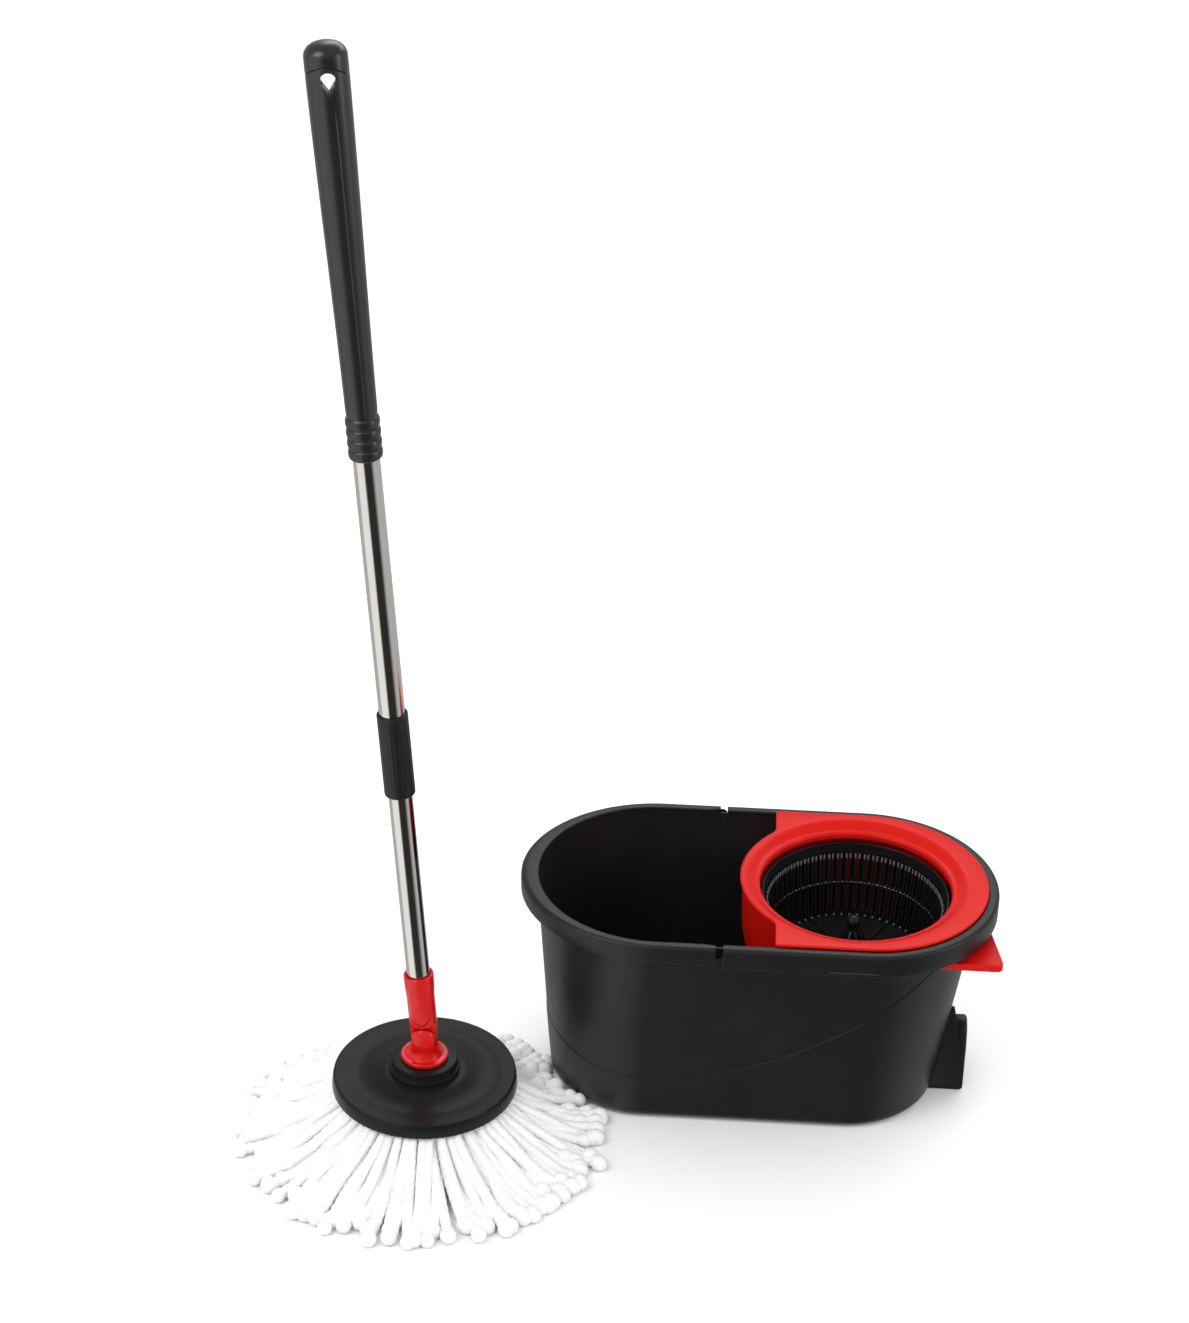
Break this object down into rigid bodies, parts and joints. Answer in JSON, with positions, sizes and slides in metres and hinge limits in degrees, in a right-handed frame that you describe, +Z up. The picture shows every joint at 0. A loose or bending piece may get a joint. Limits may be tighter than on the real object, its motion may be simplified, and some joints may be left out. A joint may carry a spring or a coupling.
{
  "type": "spin mop",
  "caption": "Round strand mop on a telescopic tilting handle, beside an oval bucket with a pedal-driven spinning wringer basket and a fold-down carrying handle.",
  "frame": {"origin": "on the floor, at the bucket's underside, below the middle of the rim's length and width", "axes": "+X along the bucket towards the wringer, +Y to the back, +Z up; the mop stands at -X, -Y"},
  "size_m": [0.7424, 0.4415, 1.102],
  "materials": {
    "bucket_black": "satin moulded polypropylene, charcoal black",
    "wringer_red": "smooth moulded plastic, signal red",
    "basket_black": "satin moulded plastic, black",
    "nylon": "natural acetal or nylon",
    "rubber_seal": "soft black rubber",
    "zinc_steel": "zinc plated steel",
    "disc_black": "satin moulded plastic, black",
    "microfibre": "white looped microfibre strands",
    "ferrule_red": "glossy moulded plastic, red",
    "pole_steel": "polished stainless tube",
    "grip_black": "matt moulded grip, dark grey",
    "sleeve_black": "satin moulded plastic, black"
  },
  "bodies": {
    "bucket": {"bucket_shell": "bucket_black", "wringer_housing": "wringer_red", "foot_housing": "bucket_black", "gearbox_cover": "bucket_black", "cover_screw_1": "zinc_steel", "cover_screw_2": "zinc_steel", "cover_screw_3": "zinc_steel", "cover_screw_4": "zinc_steel", "bearing_bracket": "nylon", "shaft_bush_outer": "nylon", "shaft_bush_inner": "nylon", "drive_bush": "nylon", "shaft_seal": "rubber_seal", "handle_pin_front": "zinc_steel", "handle_pin_rear": "zinc_steel", "return_spring": "zinc_steel"},
    "handle": {"carry_handle": "bucket_black"},
    "basket": {"basket": "basket_black", "basket_post": "basket_black"},
    "pinion": {"pinion_shaft": "zinc_steel", "pinion_gear": "nylon", "bevel_pinion": "nylon"},
    "drive": {"drive_shaft": "zinc_steel", "bevel_wheel": "nylon", "clutch_hub": "nylon"},
    "pedal": {"pedal": "wringer_red"},
    "mop_head": {"mop_disc": "disc_black", "hub_cap": "disc_black", "refill_ring": "nylon", "fringe": "microfibre"},
    "swivel": {"swivel_base": "ferrule_red", "swivel_screw": "zinc_steel", "swivel_washer": "zinc_steel", "tilt_pin": "zinc_steel"},
    "lower_pole": {"ferrule": "ferrule_red", "ferrule_screw": "zinc_steel", "lower_tube": "pole_steel", "lower_tube_plug": "nylon"},
    "upper_pole": {"upper_tube": "pole_steel", "lock_collet": "nylon", "grip": "grip_black", "grip_cap": "grip_black"},
    "lock_sleeve": {"lock_sleeve": "sleeve_black"}
  },
  "joints": [
    {"name": "handle_swing", "type": "hinge", "parent": "bucket", "child": "handle", "pos_m": [-0.0425, 0, 0.2255], "axis": [0, 1, 0], "range_deg": [0, 90]},
    {"name": "basket_spin", "type": "hinge", "parent": "bucket", "child": "basket", "pos_m": [0.0918, 0, 0.139], "axis": [0, 0, 1], "continuous": true},
    {"name": "pedal_press", "type": "slide", "parent": "bucket", "child": "pedal", "axis": [0, 0, -1], "range_m": [0, 0.055], "stiffness_N_per_m": 400, "springref_m": -0.02, "deforming": ["return_spring"]},
    {"name": "pinion_turn", "type": "hinge", "parent": "bucket", "child": "pinion", "pos_m": [0.0918, 0, 0.059], "axis": [-1, 0, 0], "range_deg": [0, 265]},
    {"name": "drive_turn", "type": "hinge", "parent": "bucket", "child": "drive", "pos_m": [0.0918, 0, 0.059], "axis": [0, 0, 1], "range_deg": [0, 265]},
    {"name": "mop_lift", "type": "slide", "parent": "bucket", "child": "mop_head", "axis": [-0.5999, -0.35, 0.7194], "range_m": [0, 0.3]},
    {"name": "head_spin", "type": "hinge", "parent": "mop_head", "child": "swivel", "pos_m": [-0.326, -0.108, 0.0735], "axis": [0, 0, 1], "continuous": true},
    {"name": "pole_tilt", "type": "hinge", "parent": "swivel", "child": "lower_pole", "pos_m": [-0.326, -0.108, 0.1], "axis": [0, 1, 0], "range_deg": [-37.6, 46.4]},
    {"name": "telescope", "type": "slide", "parent": "lower_pole", "child": "upper_pole", "axis": [-0.0767, 0, 0.9971], "range_m": [-0.19, 0.16]},
    {"name": "lock_twist", "type": "hinge", "parent": "upper_pole", "child": "lock_sleeve", "pos_m": [-0.35055, -0.108, 0.41906], "axis": [-0.0767, 0, 0.9971], "range_deg": [0, 90]}
  ],
  "couplings": [
    {"joint": "pinion_turn", "follows": "pedal_press", "rad_per_m": 83.333},
    {"joint": "drive_turn", "follows": "pedal_press", "rad_per_m": 83.333}
  ]
}
